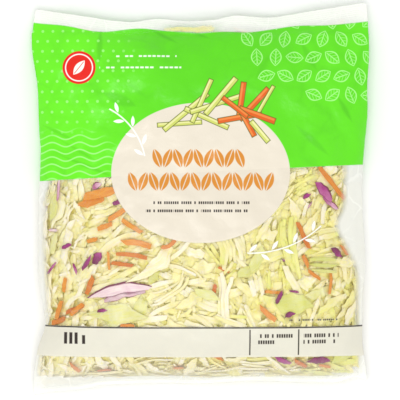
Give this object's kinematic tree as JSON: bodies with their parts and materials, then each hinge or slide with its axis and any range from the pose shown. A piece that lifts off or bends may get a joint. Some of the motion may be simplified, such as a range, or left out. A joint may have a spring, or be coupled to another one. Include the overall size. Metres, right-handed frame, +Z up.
{
  "type": "bagged coleslaw mix",
  "caption": "Sealed clear pillow bag full of shredded coleslaw mix, lying on its back, with a printed front, a seal across each end and a creased, lumpy film.",
  "frame": {"origin": "on the surface that the bag lies on, below the middle of its outline", "axes": "+X across the bag, +Y from its lower seal to its upper seal, +Z up out of its printed front"},
  "size_m": [0.216, 0.2518, 0.0443],
  "materials": {
    "film": "thin clear film with a satin gloss, printed over its upper part and in a band near its lower end",
    "pale_cabbage": "moist cut cabbage, cream to yellow-green",
    "green_cabbage": "moist outer leaf, light green",
    "carrot": "moist cut carrot, orange",
    "red_cabbage": "moist cut red cabbage, purple skin over a pale inside"
  },
  "bodies": {
    "root": {"slaw_bag": "film"}
  },
  "joints": []
}
